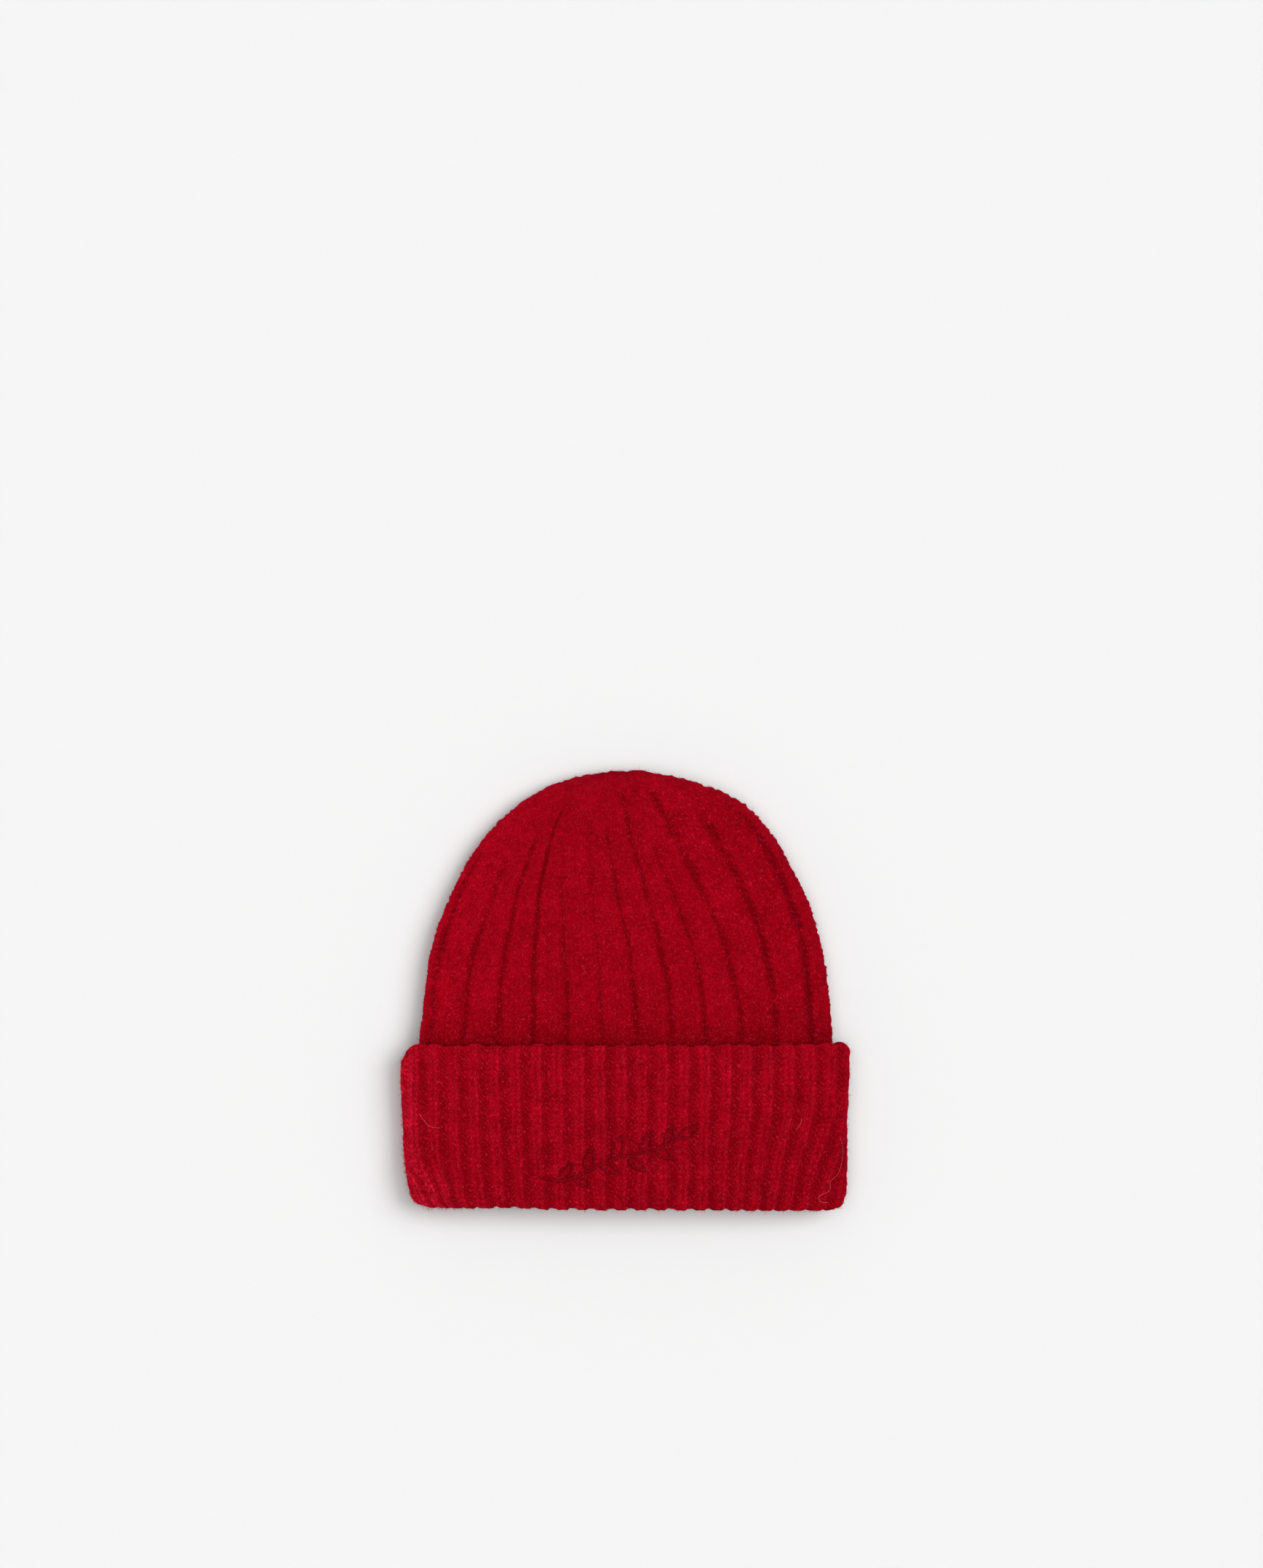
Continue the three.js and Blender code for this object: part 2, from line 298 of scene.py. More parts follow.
def dome_ring(place, turn, inset):
    """Crown: one face above the cuff, from no turn at the cuff to a right angle at the tip."""
    along = min(1, math.sin(turn) ** (2 / CROWN_ROUNDNESS))
    y = CUFF_EDGE_Y + (TIP_Y - CUFF_EDGE_Y - inset) * along
    sunk = smooth(y, CUFF_EDGE_Y + 0.002, CUFF_EDGE_Y + CROWN_SINKING)
    swollen = smooth(y, CUFF_EDGE_Y - 0.002, CUFF_EDGE_Y + CROWN_SWELLING)
    rise = blend(CROWN_RISE_AT_CUFF, CROWN_RISE, swollen) - inset
    fall = blend(CUFF_FOLD_HEIGHT - CUFF_WALL - GAP, CROWN_FOLD_HEIGHT, sunk) - inset
    leaning = groove_lean(place) * smooth(y, LEAN_START_Y, LEAN_END_Y)
    x, z = ring(
        place + leaning, CROWN_RIBS, CROWN_RIBS_ON_FRONT,
        half_width=max(1e-6, (CROWN_HALF_WIDTH - inset) * math.cos(turn)),
        rise=rise * math.sqrt(max(0, 1 - along ** 4)) + 1e-7,
        fall=fall * math.sqrt(max(0, 1 - along ** 6)) + 1e-7,
        fold_height=blend(CUFF_FOLD_HEIGHT, CROWN_FOLD_HEIGHT, sunk),
        bluntness=CROWN_BLUNTNESS,
        sway=SWAY * along ** 2,
    )
    x = x + side_shift(x, y, CROWN_SIDES) + TIP_DRIFT * along ** 2
    return np.stack([x, np.full_like(x, y), z], axis=-1)


def dome_turns(rings):
    """Turns that space the crown's rings evenly along its outline, from the tip down."""
    turn = np.linspace(0, math.pi / 2, OUTLINE_STEPS + 1)
    x = CROWN_HALF_WIDTH * np.cos(turn)
    y = (TIP_Y - CUFF_EDGE_Y) * np.sin(turn) ** (2 / CROWN_ROUNDNESS)
    length = running_total(np.hypot(np.diff(x), np.diff(y)))
    return np.interp(np.linspace(length[-1], 0, rings + 1), length, turn)


def crown_rings(place, inset, dome_rings, band_rings):
    """One face of the crown's wall as rings, from the tip to the end of the band."""
    rings = [dome_ring(place, turn, inset) for turn in dome_turns(dome_rings)]
    for y in np.linspace(CUFF_EDGE_Y, BAND_END_Y, band_rings + 1)[1:]:
        rings.append(band_ring(place, y, inset))
    return rings


def lumps(points, size, seed):
    """A smooth random unevenness, mostly between -1 and 1, in lumps of about that size."""
    dice = np.random.default_rng(seed)
    field = np.zeros(points.shape[:-1])
    for _ in range(LUMP_WAVES):
        way = dice.normal(size=3)
        way *= 2 * math.pi / size * dice.uniform(0.6, 1.3) / np.linalg.norm(way)
        field += np.sin(points @ way + dice.uniform(0, 2 * math.pi))
    return field / LUMP_RANGE


def with_lumps(values, points, table):
    """Values made uneven by each kind of lump in a table."""
    for row in table:
        values = values + row["strength"] * lumps(points, row["size"], row["seed"])
    return values


def outward(points):
    """Unit normals of a grid of rings, out of the wall."""
    around = np.roll(points, -1, axis=1) - np.roll(points, 1, axis=1)
    down = np.gradient(points, axis=0)
    normal = np.cross(down, around)
    return normal / np.maximum(np.linalg.norm(normal, axis=-1, keepdims=True), 1e-12)


def in_scene(name, data):
    """A new object in the scene that holds a mesh, a lamp or a camera."""
    made = bpy.data.objects.new(name, data)
    bpy.context.scene.collection.objects.link(made)
    return made


def knitted_wall(name, points, ribs, courses, shades):
    """A closed wall from a grid of rings, its stitches as a UV map and shades at its points."""
    closed = np.concatenate([points, points[:, :1]], axis=1)
    tall, wide = closed.shape[:2]
    wall = bmesh.new()
    knit = wall.loops.layers.uv.new("knit")
    bmesh.ops.create_grid(wall, x_segments=wide - 1, y_segments=tall - 1, size=0.5)
    layers = {key: wall.verts.layers.float.new(key) for key in shades}
    wall.verts.ensure_lookup_table()
    place = [
        (round((vert.co.y + 0.5) * (tall - 1)), round((vert.co.x + 0.5) * (wide - 1)))
        for vert in wall.verts
    ]
    for vert, (row, column) in zip(wall.verts, place):
        vert.co = closed[row, column]
        for key, layer in layers.items():
            vert[layer] = shades[key][row, column % (wide - 1)]
    for face in wall.faces:
        face.smooth = True
        for loop in face.loops:
            row, column = place[loop.vert.index]
            loop[knit].uv = (ribs[row, column], courses[row])
    bmesh.ops.remove_doubles(wall, verts=wall.verts, dist=1e-8)
    bmesh.ops.recalc_face_normals(wall, faces=wall.faces)
    mesh = bpy.data.meshes.new(name)
    wall.to_mesh(mesh)
    wall.free()
    return in_scene(name, mesh)


crown_place = FIRST_GROOVE + np.arange(CROWN_RIBS * COLUMNS_IN_CROWN_RIB) / COLUMNS_IN_CROWN_RIB
outside_rings = crown_rings(crown_place, 0, DOME_RINGS_OUTSIDE, BAND_RINGS_OUTSIDE)
inside_rings = crown_rings(crown_place, CROWN_WALL, DOME_RINGS_INSIDE, BAND_RINGS_INSIDE)
crown_points = np.array(outside_rings + inside_rings[::-1])
crown_outside = np.zeros(crown_points.shape[:2])
crown_outside[:len(outside_rings)] = 1

crown_normals = outward(crown_points)
crown_y = crown_points[..., 1]
rib_width = np.linalg.norm(np.roll(crown_points, -1, axis=1) - crown_points, axis=-1)
rib_width = np.mean(rib_width, axis=1, keepdims=True) * COLUMNS_IN_CROWN_RIB
middle_column = round((CROWN_RIBS_ON_FRONT / 2 - FIRST_GROOVE) * COLUMNS_IN_CROWN_RIB)
down_the_rib = length_along(crown_points[:, middle_column])

# The grooves between the ribs, with the loose rungs of yarn that cross them
groove_number = np.round(crown_place - FIRST_GROOVE).astype(int) % CROWN_RIBS
groove_ends = np.array([groove["end_y"] for groove in GROOVES])[groove_number]
groove_strength = np.stack([
    np.interp(
        crown_y[:, 0],
        [CUFF_EDGE_Y, GROOVE_MIDDLE_Y, groove["end_y"]],
        [groove["at_cuff"], groove["middle"], groove["upper"]],
    )
    for groove in GROOVES
], axis=1)[:, groove_number]
groove_strength = groove_strength * smooth(crown_y, groove_ends + 0.004, groove_ends - 0.005)
groove_strength = groove_strength * (0.85 + with_lumps(0, crown_points, GROOVE_DEPTH_LUMPS))
from_groove = (crown_place - FIRST_GROOVE + 0.5) % 1 - 0.5
wander = with_lumps(0, crown_points, GROOVE_COURSE_LUMPS)
from_groove_m = from_groove * rib_width + wander * (1 - 2 * np.abs(from_groove))
groove_half_width = np.minimum(GROOVE_HALF_WIDTH, 0.16 * rib_width)
groove_line = np.exp(-(from_groove_m / groove_half_width) ** 2)
at_tip = smooth(rib_width, 0.0008, 0.0060)
groove_rungs = np.array([groove["rungs"] for groove in GROOVES])[groove_number]
rung_turn = 2 * math.pi * down_the_rib[:, None] / RUNG_PITCH + 2 * lumps(crown_points, 0.012, 15)
crossing = groove_rungs * (0.5 + 0.5 * np.cos(rung_turn))
crown_groove = groove_line * groove_strength * at_tip * (1.28 - 1.0 * crossing)
groove_rungs = np.clip(0.6 * groove_rungs * crown_groove, 0, 1) * crown_outside

# The relief: each rib's swell, the gathers by the tip, the rows of stitches and the lumps,
# less the grooves and the tuck at the cuff's edge
swell = RIB_SWELL * (1 - (2 * from_groove) ** 2) * smooth(rib_width, 0.002, 0.012)
gather_turn = 2 * math.pi * 2 * crown_place + 2 * lumps(crown_points, 0.02, 6)
gathers = GATHER_DEPTH * np.cos(gather_turn)
gathers = gathers * smooth(rib_width, 0.0120, 0.0060) * smooth(rib_width, 0.0005, 0.0030)
uneven = with_lumps(0, crown_points, CROWN_LUMPS)
course_turn = 2 * math.pi * down_the_rib[:, None] / ROW_PITCH + 3 * lumps(crown_points, 0.012, 10)
uneven = uneven + ROW_RELIEF * np.cos(course_turn) * (1 + lumps(crown_points, 0.008, 13))
crown_upright = 1 - np.abs(crown_normals[..., 2])
uneven = uneven + EDGE_ROUGHNESS * crown_upright * lumps(crown_points, 0.0028, 14)
above_cuff = np.maximum(crown_y - CUFF_EDGE_Y, 0)
tucked_groove = crown_groove * (1 + 0.7 * np.exp(-above_cuff / 0.007))
tuck = TUCK_DEPTH * np.exp(-above_cuff / 0.006)
tuck = tuck * smooth(crown_y, CUFF_EDGE_Y - 0.020, CUFF_EDGE_Y)
proud = (swell + gathers + uneven) * smooth(crown_y, CUFF_EDGE_Y - 0.006, CUFF_EDGE_Y + 0.010)
proud = proud - GROOVE_DEPTH * tucked_groove - tuck
proud = proud * crown_outside * smooth(rib_width, 0.0002, 0.0015)
crown_points = crown_points + crown_normals * proud[..., None]

at_edge = smooth(crown_points[..., 1], 0.0990, 0.1070) * crown_outside
for pucker in TIP_PUCKERS:
    from_pucker = (crown_points[..., 0] - pucker["x"]) / pucker["width"]
    crown_points[..., 1] += pucker["lifts"] * at_edge * np.exp(-from_pucker ** 2)
crown_points[..., 2] = np.maximum(crown_points[..., 2], 0.0)

crown_ribs = np.arange(CROWN_RIBS * COLUMNS_IN_CROWN_RIB + 1) / COLUMNS_IN_CROWN_RIB
crown_ribs = np.tile(crown_ribs, (len(crown_points), 1))
crown = knitted_wall(
    "crown_knitting", crown_points, crown_ribs, down_the_rib / ROW_PITCH,
    {
        # Painted shade: darker in the grooves, and in a band just above the cuff's edge where the
        # cuff shades the crown
        "groove": (crown_groove + 0.80 * np.exp(-above_cuff / 0.0095)) * crown_outside,
        "gather": 1 - at_tip * np.ones_like(crown_groove),
        "purl": groove_rungs,
        "worn_and_lit": np.zeros_like(crown_groove),
    },
)


class Strand:
    """A value that a wool shader works out, for use in ordinary sums."""

    def __init__(self, tree, socket):
        self.tree = tree
        self.socket = socket

    def node(self, kind, settings, values, output=0):
        """A shader node of any kind, from its settings and its sockets' values or links."""
        made = self.tree.nodes.new("ShaderNode" + kind)
        for key, setting in settings.items():
            setattr(made, key, setting)
        for key, value in values.items():
            if isinstance(value, Strand):
                self.tree.links.new(value.socket, made.inputs[key])
            else:
                made.inputs[key].default_value = value
        return Strand(self.tree, made.outputs[output])

    def sum(self, operation, *values):
        return self.node("Math", {"operation": operation}, dict(enumerate(values)))

    def __add__(self, other):
        return self.sum("ADD", self, other)

    def __sub__(self, other):
        return self.sum("SUBTRACT", self, other)

    def __mul__(self, other):
        return self.sum("MULTIPLY", self, other)

    def __rsub__(self, other):
        return self.sum("SUBTRACT", other, self)

    def __pow__(self, other):
        return self.sum("POWER", self, other)

    __radd__ = __add__
    __rmul__ = __mul__

    def __abs__(self):
        return self.sum("ABSOLUTE", self)

    def fraction(self):
        return self.sum("FRACT", self)

    def cosine(self):
        return self.sum("COSINE", self)

    def clipped(self, low, high):
        """0 at low and 1 at high, and never past either."""
        return self.node("MapRange", {"clamp": True}, {0: self, 1: low, 2: high})

    def dyed(self, first, second):
        """The first colour at 0 and the second at 1."""
        settings = {"data_type": "RGBA", "clamp_factor": True}
        return self.node("Mix", settings, {0: self, 6: first, 7: second}, output=2)

    def feeds(self, node, key):
        """Let this value drive an input of a node that the tree already has."""
        self.tree.links.new(self.socket, self.tree.nodes[node].inputs[key])

    def cloud(self, size, detail=2.0):
        """Soft random patches of that size, at the place that this value holds."""
        values = {"Vector": self, "Scale": 1 / size, "Detail": detail, "Roughness": 0.6}
        return self.node("TexNoise", {}, values)

    def attribute(self, name):
        """A value that the points of the mesh hold under that name."""
        return self.node("Attribute", {"attribute_name": name}, {}, output="Fac")


def plain_material(name, looks):
    """A material with those looks, and without highlights unless they ask for some."""
    material = bpy.data.materials.new(name)
    material.use_nodes = True
    surface = material.node_tree.nodes["Principled BSDF"]
    for key, value in {"Specular IOR Level": 0, **looks}.items():
        surface.inputs[key].default_value = value
    return material


# Where the wool is pale, partly worn by brushing and partly painted light: its colour in the hollows
# and on the stitches
PALE_DEEP = (0.28, 0.0014, 0.008, 1)
PALE_LIT = (0.88, 0.013, 0.050, 1)


def stitches_and_bars(wale, course, spot, purl, bar_pitch, bar_lean):
    """How far off its wale's middle a place is, the stitches, and the bars, which are painted dark as
    shade.
    """
    side = abs(wale.fraction() - 0.5)
    wobble = spot.cloud(0.006) * 0.7 + spot.cloud(0.0028) * 0.3
    knit_leg = course + side * 1.1 + wobble
    across_bar = (wale + 0.5).fraction()
    purl_bar = course * (1 / bar_pitch) - across_bar * bar_lean + wobble
    turn = (knit_leg + (purl_bar - knit_leg) * purl) * (2 * math.pi)
    stitch = (0.5 + 0.5 * turn.cosine()) * (1 - side * 0.9)
    bar = (0.5 - 0.5 * turn.cosine()) ** 2.2 * purl
    return side, stitch, bar


def knit_wool(name, deep, lit, fleck, stitches, stitch_show, bar_show, bar_pitch, bar_lean):
    """Brushed wool knitting: soft stitches under short fibres, with painted shade in its grooves and
    between its stitches.

    Its colour runs from deep to lit, with paler flecks, over so many stitches in a rib. Bars
    are the purl stitches or loose rungs between ribs, bar_pitch rows apart and leaning by
    bar_lean. The two shows say how strongly stitches and bars are seen.
    """
    material = plain_material(name, {
        "Roughness": 0.95,
        "Sheen Weight": 0.30,
        "Sheen Roughness": 0.45,
        "Sheen Tint": (1, 0.02, 0.08, 1),
    })
    start = Strand(material.node_tree, None)
    knit = start.node("UVMap", {"uv_map": "knit"}, {})
    rib = start.node("SeparateXYZ", {}, {0: knit}, output=0)
    course = start.node("SeparateXYZ", {}, {0: knit}, output=1)
    spot = start.node("TexCoord", {}, {}, output="Object")
    groove, gather, purl, worn_and_lit = map(start.attribute, ("groove", "gather", "purl", "worn_and_lit"))

    wale = rib * stitches + (spot.cloud(0.004) - 0.5) * 0.5
    side, stitch, bar = stitches_and_bars(wale, course, spot, purl, bar_pitch, bar_lean)
    stitch = stitch * (1 - gather)

    def streaks(x, y, scale):
        """Random streaks in the plane of the stitches."""
        place = start.node("CombineXYZ", {}, {0: x, 1: y, 2: spot.cloud(0.005) * 3})
        return start.node("TexNoise", {}, {"Vector": place, "Scale": scale, "Detail": 2.0})

    upright = streaks(wale * 5, course * 1.3, 1.6)
    leaning = streaks(wale * 2.5 - course * 2, course * 0.8 + wale, 1.5)
    falling = streaks(wale * 2.5 + course * 2, course * 0.8 - wale, 1.5)
    fine = spot.cloud(0.0009)
    grain = spot.cloud(0.0020)
    mottle = spot.cloud(0.012, 3.0) * 0.6 + spot.cloud(0.0050) * 0.4

    # How much each pattern lightens the wool and how high it stands
    patterns = [
        {"of": mottle, "lightens": 1.1, "stands": 0.0},
        {"of": upright, "lightens": 0.3, "stands": 0.5},
        {"of": leaning, "lightens": 0.5, "stands": 0.5},
        {"of": falling, "lightens": 0.5, "stands": 0.5},
        {"of": fine, "lightens": 0.6, "stands": 0.8},
        {"of": grain, "lightens": 0.5, "stands": 1.2},
    ]
    tone = 0.5
    height = stitch * stitch_show - bar * bar_show
    for pattern in patterns:
        tone = tone + (pattern["of"] - 0.5) * pattern["lightens"]
        height = height + pattern["of"] * pattern["stands"]

    # Painted shade: the tone falls in the ragged grooves, under the dark bars and between the wales,
    # and the stitches are painted lighter on top than between
    groove_shade = groove * (1 + (grain - 0.5) * 3 + (fine - 0.5) * 2) * (1 - (purl - bar) * bar_show)
    tone = tone + (stitch - 0.5) * stitch_show - bar * bar_show * 0.7 - groove_shade * 0.61
    tone = tone - side.clipped(0.25, 0.50) * (1 - gather) * 0.09
    share = tone.clipped(0.05, 0.95)
    # The pale colour carries both pale brushed fuzz and painted light
    pale = tone.clipped(0.25, 0.75).dyed(PALE_DEEP, PALE_LIT)
    colour = worn_and_lit.dyed(share.dyed(deep, lit), pale)
    bright_fibre = (leaning * falling).clipped(0.31, 0.45) * 0.6
    bright_fibre.dyed(colour, fleck).feeds("Principled BSDF", "Base Color")

    bump = start.node("Bump", {}, {"Strength": 0.7, "Distance": 0.0005, "Height": height})
    bump.feeds("Principled BSDF", "Normal")
    return material


crown_wool = knit_wool(
    "crown_wool",
    deep=(0.137, 0.0002, 0.0020, 1),
    lit=(0.342, 0.0008, 0.0078, 1),
    fleck=(0.49, 0.015, 0.041, 1),
    stitches=STITCHES_IN_CROWN_RIB,
    stitch_show=0.08,
    bar_show=1.00,
    bar_pitch=1.25,
    bar_lean=0.35,
)
crown.data.materials.append(crown_wool)
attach(crown, "root")
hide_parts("crown")


# The loose fibres of one wall: how many, how long, how thick, and how deep their roots lie
FIBRE_COUNT = 32000
FIBRE_SHORTEST = 0.0014
FIBRE_LONGEST = 0.0042
FIBRE_THINNEST = 0.000040
FIBRE_THICKENING = 0.000080
FIBRE_ROOT_DEPTH = 0.0001


def one_fibre():
    """A short closed spindle, as points and faces, that brushed_fibres stretches and bends into each
    fibre.
    """
    spindle = bmesh.new()
    bmesh.ops.create_uvsphere(spindle, u_segments=3, v_segments=2, radius=1)
    bmesh.ops.recalc_face_normals(spindle, faces=spindle.faces)
    points = np.array([vert.co for vert in spindle.verts])
    faces = [[vert.index for vert in face.verts] for face in spindle.faces]
    spindle.free()
    return points, faces


def brushed_fibres(name, points, weight, count, material, seed):
    """Loose fibres raised from a wall by brushing, standing as densely as weight says."""
    dice = np.random.default_rng(seed)
    closed = np.concatenate([points, points[:, :1]], axis=1)
    down = closed[1:, :-1] - closed[:-1, :-1]
    around = closed[:-1, 1:] - closed[:-1, :-1]
    normal = np.cross(down, around)
    area = np.linalg.norm(normal, axis=-1)
    chance = (area * weight[:-1]).ravel()
    cell = dice.choice(chance.size, size=count, p=chance / chance.sum())
    row, column = np.divmod(cell, area.shape[1])
    low_row = dice.uniform(size=(count, 1))
    low_column = dice.uniform(size=(count, 1))
    root = closed[row, column] + down[row, column] * low_row + around[row, column] * low_column
    up = normal[row, column] / area[row, column][:, None]
    wale = down[row, column] / np.linalg.norm(down[row, column], axis=-1, keepdims=True)
    wale *= dice.choice([-1, 1], size=(count, 1))
    across = np.cross(up, wale)

    heading = dice.normal(0, 0.75, size=(count, 1))
    lay = wale * np.cos(heading) + across * np.sin(heading)
    sideways = np.cross(up, lay)
    level = np.abs(up[:, 2:])
    length = dice.uniform(FIBRE_SHORTEST, FIBRE_LONGEST, size=(count, 1)) * (0.3 + 0.7 * level)
    steepness = dice.beta(1.3, 4.5, size=(count, 1)) * (0.3 + 0.6 * level)
    curl = dice.normal(0, 0.30, size=(count, 1))
    thickness = FIBRE_THINNEST + FIBRE_THICKENING * dice.beta(1.0, 2.0, size=(count, 1))

    shape, faces = one_fibre()
    made = np.empty((count, len(shape), 3))
    for number, (out_x, out_y, height) in enumerate(shape):
        share = (height + 1) / 2
        spine = root + lay * length * share * np.cos(steepness)
        lift = length * np.sin(steepness) * share * (1.5 - 0.5 * share)
        spine += up * (lift - FIBRE_ROOT_DEPTH)
        spine += sideways * length * curl * share ** 2
        made[:, number] = spine + (sideways * out_x + up * out_y) * thickness
    made[..., 2] = np.maximum(made[..., 2], 0.0)
    every_face = [
        [vertex + number * len(shape) for vertex in face]
        for number in range(count)
        for face in faces
    ]
    mesh = bpy.data.meshes.new(name)
    mesh.from_pydata(made.reshape(-1, 3).tolist(), [], every_face)
    shade = mesh.attributes.new("shade", "FLOAT", "POINT")
    tints = np.repeat(dice.uniform(size=count), len(shape)).astype(np.float32)
    shade.data.foreach_set("value", tints)
    mesh.materials.append(material)
    mesh.shade_smooth()
    return in_scene(name, mesh)


def fibre_wool(name, dark, light):
    """One loose fibre's dye, a little different from the next one's."""
    material = plain_material(name, {"Roughness": 0.8})
    start = Strand(material.node_tree, None)
    colour = (start.attribute("shade") ** 1.8).dyed(dark, light)
    colour.feeds("Principled BSDF", "Base Color")
    return material


raised_wool = fibre_wool("raised_wool", (0.26, 0.0005, 0.0055, 1), (0.68, 0.021, 0.048, 1))

# Few fibres stand in the grooves, and none under the cuff
crown_weight = crown_outside * (crown_y > CUFF_EDGE_Y + 0.001)
crown_weight = crown_weight * (1 - 0.75 * np.clip(crown_groove, 0, 1))
crown_fibres = brushed_fibres(
    "crown_fibres", crown_points, crown_weight, FIBRE_COUNT, raised_wool, seed=21
)
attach(crown_fibres, "root")


# Cuff: the turned-up band in narrow two-by-two rib, the same wool less brushed, so that its
# stitches show. It turns up round the hem fold and lies over the crown, with a soft free edge.
CUFF_RIBS = 44
CUFF_RIBS_ON_FRONT = 22.4
MIDDLE_CUFF_RIB = 11
CUFF_RIB_HEIGHT = 0.0012
STITCHES_IN_CUFF_RIB = 4
HEM_RADIUS = (CROWN_WALL + GAP + CUFF_WALL) / 2
EDGE_RADIUS = CUFF_WALL / 2
FLOOR_FLATNESS = 0.00012
LIP_Y = -0.0995

# How far the cuff stands out past its even shape at either side fold
CUFF_SIDES = [
    {"y": -0.107, "left": -0.0034, "right": 0.0004},
    {"y": -0.099, "left": -0.0020, "right": 0.0005},
    {"y": -0.088, "left": -0.0007, "right": 0.0005},
    {"y": -0.070, "left": 0.0, "right": 0.0004},
    {"y": -0.030, "left": 0.0, "right": 0.0003},
]

# How far over to the left the ribs lean at the hem, near the left and right folds, in ribs
LEAN_AT_LEFT = -1.2
LEAN_AT_RIGHT = 1.3

# The relief of a rib, and how deep, how widely and how far beside it the thread pulls it down
CREST_FALL = 0.0020
WALE_LINE_DEPTH = 0.00020
RIGHT_WALE_HEIGHT = 0.0002
VALLEY_STITCH_HEIGHT = 0.00012
CUFF_EDGE_ROUGHNESS = 0.00022
PULL_DEPTH = 0.0009
PULL_HALF_WIDTH = 0.0007
PULL_OFFSET = (0.0004, 0.0)

# How finely the wall is divided: columns of a rib, and rows down each stretch of its profile
COLUMNS_IN_CUFF_RIB = 16
EDGE_ROWS = 9
OUTSIDE_ROWS = 98
HEM_ROWS = 14
INSIDE_ROWS = 4
STEP_ROWS = 2
HIDDEN_ROWS = 6

# Lumps that make the cuff's knitting, the lean of its ribs and its pale patches uneven
CUFF_LUMPS = [
    {"strength": 0.00030, "size": 0.030, "seed": 34},
    {"strength": 0.00014, "size": 0.006, "seed": 35},
]
CUFF_LEAN_LUMPS = [
    {"strength": 0.05, "size": 0.05, "seed": 31},
    {"strength": 0.03, "size": 0.012, "seed": 32},
    {"strength": 0.025, "size": 0.0036, "seed": 38},
]
CUFF_PALE_LUMPS = [
    {"strength": 0.4, "size": 0.005, "seed": 37},
    {"strength": 0.6, "size": 0.0028, "seed": 39},
]

# The embroidered sprig: the corners of its stem, and its leaves by how far along the stem
# each one starts, how many degrees it turns off the stem and how long it is
SPRIG_STEM = [
    {"x": -0.0400, "y": -0.0915},
    {"x": -0.0300, "y": -0.0925},
    {"x": -0.0190, "y": -0.0885},
    {"x": -0.0070, "y": -0.0826},
    {"x": 0.0060, "y": -0.0798},
    {"x": 0.0180, "y": -0.0762},
    {"x": 0.0270, "y": -0.0715},
]
SPRIG_LEAVES = [
    {"along": 0.12, "turn": 50, "long": 0.0105},
    {"along": 0.22, "turn": -52, "long": 0.0090},
    {"along": 0.32, "turn": 54, "long": 0.0120},
    {"along": 0.42, "turn": -50, "long": 0.0105},
    {"along": 0.52, "turn": 52, "long": 0.0125},
    {"along": 0.62, "turn": -50, "long": 0.0110},
    {"along": 0.72, "turn": 50, "long": 0.0115},
    {"along": 0.82, "turn": -48, "long": 0.0100},
    {"along": 0.90, "turn": 46, "long": 0.0095},
    {"along": 1.00, "turn": 4, "long": 0.0115},
]
LEAF_HALF_WIDTH = 0.19
LEAF_CORNERS = 9
CURVE_POINTS = 60
SPLINE_STEP = 0.0003
SPRIG_FIELD = {"half_width": 0.050, "bottom": -0.103, "top": -0.055}


def cuff_profile():
    """The cuff's outline down one rib: distance out from the crown's inner face, and y."""
    outer = CROWN_WALL + GAP + CUFF_WALL
    edge_turn = np.linspace(math.pi, 0, EDGE_ROWS)
    out = list(outer - EDGE_RADIUS + EDGE_RADIUS * np.cos(edge_turn))
    y = list(CUFF_EDGE_Y - EDGE_RADIUS + EDGE_RADIUS * np.sin(edge_turn))
    fold_start = HEM_Y + HEM_RADIUS
    for lower in np.linspace(y[-1], fold_start, OUTSIDE_ROWS + 1)[1:]:
        out.append(outer)
        y.append(lower)
    for turn in np.linspace(0, math.pi, HEM_ROWS + 1)[1:]:
        out.append(HEM_RADIUS * (1 + math.cos(turn)))
        y.append(fold_start - HEM_RADIUS * math.sin(turn))
    for share in np.linspace(0, 1, INSIDE_ROWS + 1)[1:]:
        out.append(0)
        y.append(blend(fold_start, LIP_Y, share))
    for share in np.linspace(0, 1, STEP_ROWS + 1)[1:]:
        out.append((CROWN_WALL + GAP) * share)
        y.append(LIP_Y)
    for share in np.linspace(0, 1, HIDDEN_ROWS + 1)[1:]:
        out.append(CROWN_WALL + GAP)
        y.append(blend(LIP_Y, CUFF_EDGE_Y - EDGE_RADIUS, share))
    return np.array(out), np.array(y)


cuff_out, cuff_y = cuff_profile()
cuff_place = np.arange(CUFF_RIBS * COLUMNS_IN_CUFF_RIB) / COLUMNS_IN_CUFF_RIB
cuff_share = from_left_fold(cuff_place, CUFF_RIBS, CUFF_RIBS_ON_FRONT)
cuff_rings = []
for out, y in zip(cuff_out, cuff_y):
    inset = CROWN_WALL + GAP + CUFF_WALL - out
    x, z = ring(
        cuff_place, CUFF_RIBS, CUFF_RIBS_ON_FRONT,
        half_width=cuff_half_width(y) - inset,
        rise=CUFF_RISE - front_drop(y) - inset,
        fall=CUFF_FOLD_HEIGHT + FLOOR_FLATNESS - inset,
        fold_height=CUFF_FOLD_HEIGHT,
        bluntness=CUFF_BLUNTNESS,
    )
    shift = corner_shift(x, down_the_cuff(y), 1 - down_the_cuff(y))
    x = x + side_shift(x, y, CUFF_SIDES)
    cuff_rings.append(np.stack([x, y + shift, z], axis=-1))
cuff_points = np.array(cuff_rings)
cuff_normals = outward(cuff_points)
cuff_front = cuff_place % CUFF_RIBS < CUFF_RIBS_ON_FRONT
down_the_wale = length_along(cuff_points[:, MIDDLE_CUFF_RIB * COLUMNS_IN_CUFF_RIB])

